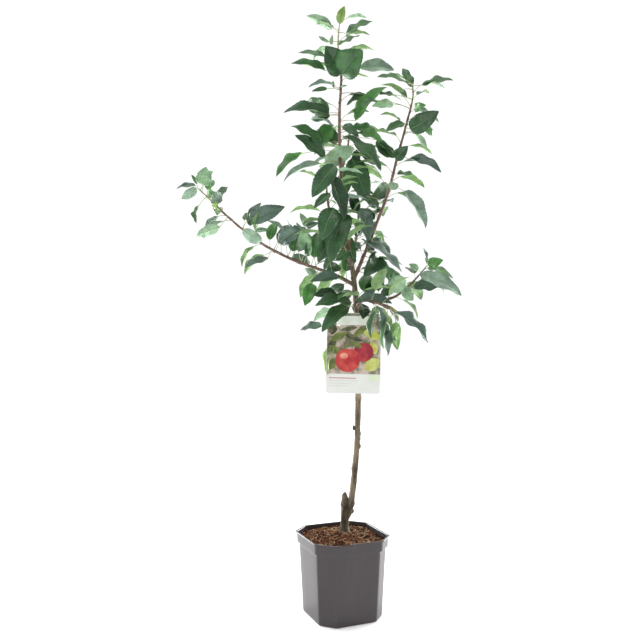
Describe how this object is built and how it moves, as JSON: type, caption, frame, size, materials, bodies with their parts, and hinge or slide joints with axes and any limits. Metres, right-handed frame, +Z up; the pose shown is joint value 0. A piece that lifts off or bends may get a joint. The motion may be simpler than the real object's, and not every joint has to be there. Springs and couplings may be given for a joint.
{
  "type": "potted apple tree",
  "caption": "Young cordon-free apple tree in a square cut-corner nursery pot: slim grafted stem, open leafy crown, bark compost and a blank-text hanging card.",
  "frame": {"origin": "centre of the pot's flat underside", "axes": "+Z up along the stem, -Y towards the viewer, so that the hanging card faces -Y"},
  "size_m": [0.655, 0.3373, 1.34],
  "materials": {
    "pot_plastic": "dark warm grey moulded plastic, half gloss",
    "compost": "loose red-brown bark chips and fibres",
    "stem_bark": "grey-brown bark with lenticels and buds",
    "shoot_bark": "smooth red-brown young bark, green at the tips",
    "leaves": "dark green leaves, half matt above, pale grey-green below",
    "card": null,
    "strap": "white strap"
  },
  "bodies": {
    "root": {"bough_back": "shoot_bark", "bough_back_high": "shoot_bark", "bough_front_left": "shoot_bark", "bough_front_right": "shoot_bark", "bough_left": "shoot_bark", "bough_lower_right": "shoot_bark", "bough_right": "shoot_bark", "card_strap": "strap", "compost": "compost", "foliage_back_high": "leaves", "foliage_back_left": "leaves", "foliage_back_low": "leaves", "foliage_back_mid": "leaves", "foliage_back_upper": "leaves", "foliage_centre_low": "leaves", "foliage_centre_right": "leaves", "foliage_crown_neck": "leaves", "foliage_crown_tip": "leaves", "foliage_fork_left": "leaves", "foliage_front_left_high": "leaves", "foliage_front_left_low": "leaves", "foliage_front_right": "leaves", "foliage_label_left": "leaves", "foliage_leader_front": "leaves", "foliage_leader_left_high": "leaves", "foliage_leader_left_low": "leaves", "foliage_leader_left_mid": "leaves", "foliage_leader_right_high": "leaves", "foliage_leader_right_mid": "leaves", "foliage_left_inner": "leaves", "foliage_left_mid": "leaves", "foliage_left_tip": "leaves", "foliage_left_under": "leaves", "foliage_lower_right_mid": "leaves", "foliage_lower_right_tip": "leaves", "foliage_right_high": "leaves", "foliage_right_low": "leaves", "foliage_right_mid": "leaves", "foliage_right_tip": "leaves", "hanging_card": "card", "pot": "pot_plastic", "trunk": "stem_bark"}
  },
  "joints": []
}
